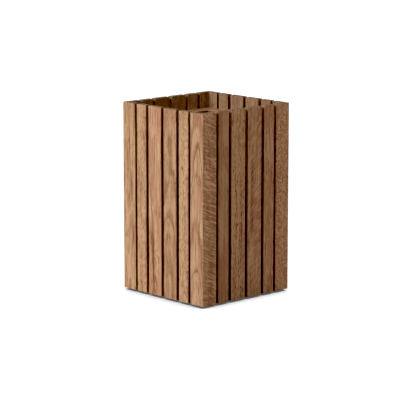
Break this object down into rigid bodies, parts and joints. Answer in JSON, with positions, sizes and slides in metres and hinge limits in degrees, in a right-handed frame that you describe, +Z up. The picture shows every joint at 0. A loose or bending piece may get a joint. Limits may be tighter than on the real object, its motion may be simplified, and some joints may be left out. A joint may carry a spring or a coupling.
{
  "type": "litter bin",
  "caption": "Tall square litter bin of spaced vertical wooden slats on inner rails, open at the top, with a liner that stands inside and lifts out to be emptied.",
  "frame": {"origin": "centre of the footprint, on the floor", "axes": "+Z up, +X towards the right wall, -Y towards the front wall"},
  "size_m": [0.3, 0.3, 0.49],
  "materials": {
    "oak": "oiled oak, planed, with eased edges",
    "oak_rail": "oiled oak, planed",
    "plywood": "sealed plywood",
    "liner_plastic": "fine-grained moulded plastic",
    "zinc_steel": "zinc plated",
    "foot_plastic": "smooth moulded plastic"
  },
  "bodies": {
    "bin": {"back_left_foot": "foot_plastic", "back_lower_rail": "oak_rail", "back_right_foot": "foot_plastic", "back_slat_1": "oak", "back_slat_2": "oak", "back_slat_3": "oak", "back_slat_4": "oak", "back_slat_5": "oak", "back_slat_6": "oak", "back_upper_rail": "oak_rail", "base_board": "plywood", "base_board_screws": "zinc_steel", "foot_screws": "zinc_steel", "front_left_foot": "foot_plastic", "front_lower_rail": "oak_rail", "front_right_foot": "foot_plastic", "front_slat_1": "oak", "front_slat_2": "oak", "front_slat_3": "oak", "front_slat_4": "oak", "front_slat_5": "oak", "front_slat_6": "oak", "front_upper_rail": "oak_rail", "left_lower_rail": "oak_rail", "left_slat_1": "oak", "left_slat_2": "oak", "left_slat_3": "oak", "left_slat_4": "oak", "left_slat_5": "oak", "left_slat_6": "oak", "left_upper_rail": "oak_rail", "lower_rail_screws": "zinc_steel", "right_lower_rail": "oak_rail", "right_slat_1": "oak", "right_slat_2": "oak", "right_slat_3": "oak", "right_slat_4": "oak", "right_slat_5": "oak", "right_slat_6": "oak", "right_upper_rail": "oak_rail", "upper_rail_screws": "zinc_steel"},
    "liner": {"liner": "liner_plastic"}
  },
  "joints": [
    {"name": "liner_lift", "type": "slide", "parent": "bin", "child": "liner", "axis": [0, 0, 1], "range_m": [0, 0.46]}
  ]
}
